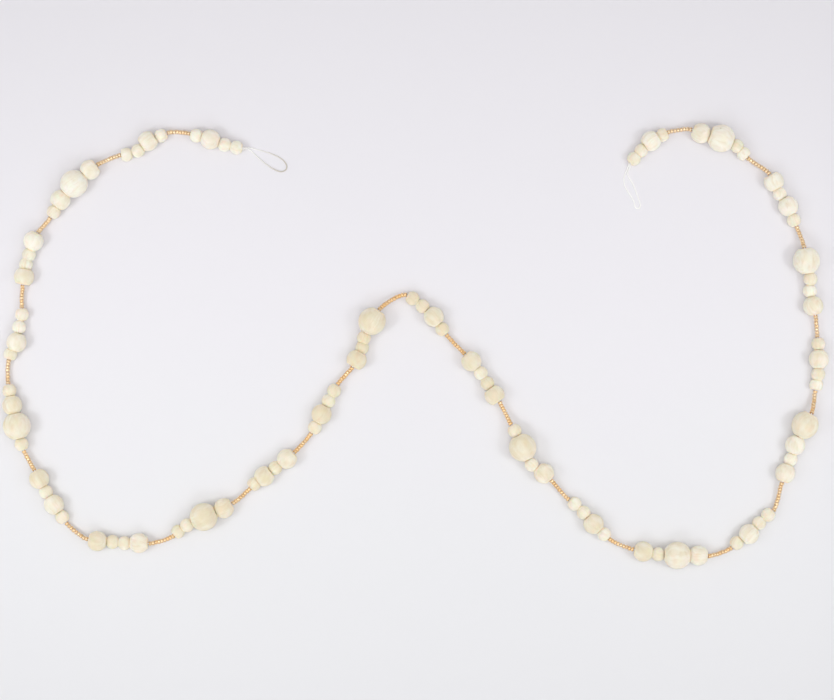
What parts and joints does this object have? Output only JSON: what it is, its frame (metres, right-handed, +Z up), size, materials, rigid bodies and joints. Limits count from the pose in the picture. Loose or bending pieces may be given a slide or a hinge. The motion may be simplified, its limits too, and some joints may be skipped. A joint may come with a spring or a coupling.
{
  "type": "wooden ball garland with gold seed beads",
  "caption": "Garland of turned wooden balls in mixed sizes, with runs of gold seed beads between them, on a white string with a loop at each end, lying in a W.",
  "frame": {"origin": "On the surface that the garland lies on, under the middle of the box around its balls and seed beads.", "axes": "+Z up. +X to the right and +Y away from the viewer, as the garland is seen from above with the hump of its W in the middle. The string runs from the left loop at -X to the right loop at +X."},
  "size_m": [0.5924, 0.3196, 0.02],
  "materials": {
    "wood": "smooth, matte, unfinished pale wood",
    "gold_seed": "shiny gold-lined glass, opaque",
    "string": "white twisted cotton"
  },
  "bodies": {
    "root": {"balls_01": "wood", "balls_02": "wood", "balls_03": "wood", "balls_04": "wood", "balls_05": "wood", "balls_06": "wood", "balls_07": "wood", "balls_08": "wood", "balls_09": "wood", "balls_10": "wood", "balls_11": "wood", "balls_12": "wood", "balls_13": "wood", "balls_14": "wood", "balls_15": "wood", "balls_16": "wood", "balls_17": "wood", "balls_18": "wood", "balls_19": "wood", "balls_20": "wood", "balls_21": "wood", "balls_22": "wood", "balls_23": "wood", "balls_24": "wood", "seeds_01": "gold_seed", "seeds_02": "gold_seed", "seeds_03": "gold_seed", "seeds_04": "gold_seed", "seeds_05": "gold_seed", "seeds_06": "gold_seed", "seeds_07": "gold_seed", "seeds_08": "gold_seed", "seeds_09": "gold_seed", "seeds_10": "gold_seed", "seeds_11": "gold_seed", "seeds_12": "gold_seed", "seeds_13": "gold_seed", "seeds_14": "gold_seed", "seeds_15": "gold_seed", "seeds_16": "gold_seed", "seeds_17": "gold_seed", "seeds_18": "gold_seed", "seeds_19": "gold_seed", "seeds_20": "gold_seed", "seeds_21": "gold_seed", "seeds_22": "gold_seed", "seeds_23": "gold_seed", "loop_left": "string", "knot_left": "string", "loop_right": "string", "knot_right": "string"}
  },
  "joints": []
}
